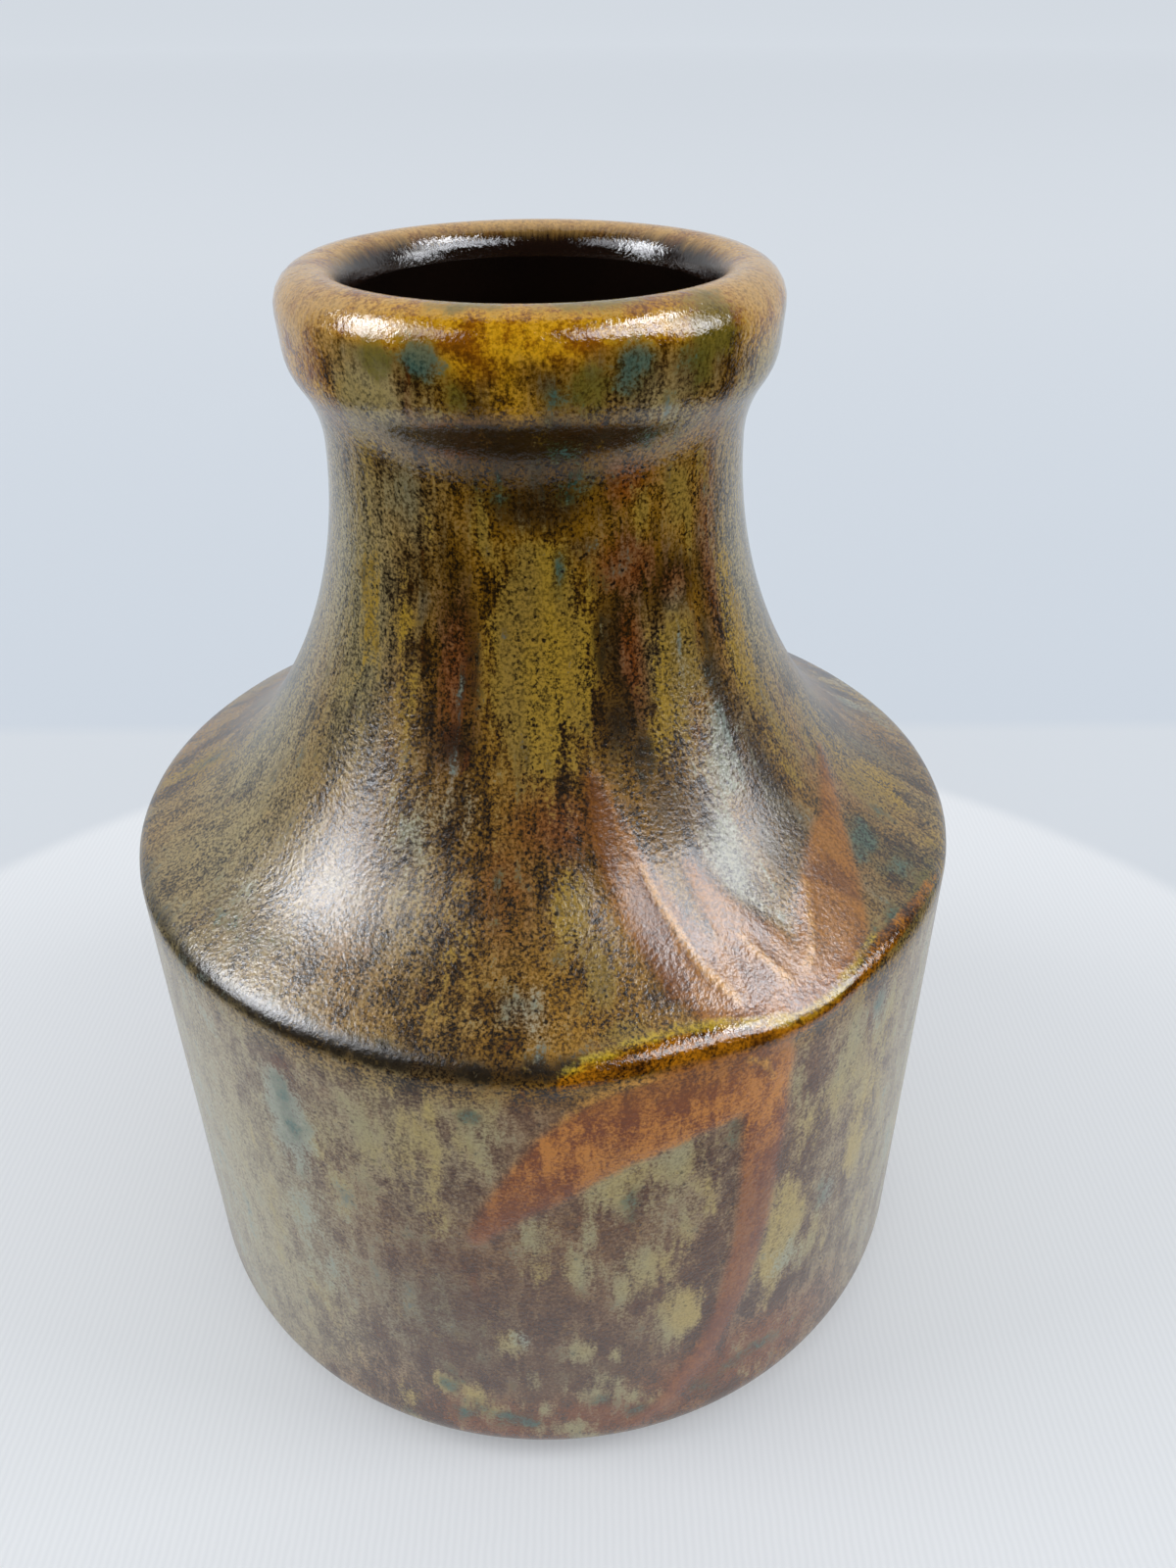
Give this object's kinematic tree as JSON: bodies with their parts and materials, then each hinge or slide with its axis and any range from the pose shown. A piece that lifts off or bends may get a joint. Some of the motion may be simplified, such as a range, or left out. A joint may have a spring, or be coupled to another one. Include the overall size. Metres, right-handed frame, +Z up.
{
  "type": "bud vase",
  "caption": "Free-standing glazed stoneware bud vase: drum body, sloped shoulder, coved neck, rolled lip.",
  "frame": {"origin": "centre of the foot, on the plane the vase stands on", "axes": "+Z up along the vase's axis, out of the mouth; the body is round, so +X and +Y are any two sides"},
  "size_m": [0.0976, 0.0974, 0.125],
  "materials": {
    "bare_stoneware": "unglazed, fired matte",
    "reactive_glaze": "glossy mottled reactive glaze",
    "liner_glaze": "glossy dark brown"
  },
  "bodies": {
    "root": {"clay_body": "bare_stoneware", "outer_glaze": "reactive_glaze", "liner_glaze": "liner_glaze"}
  },
  "joints": []
}
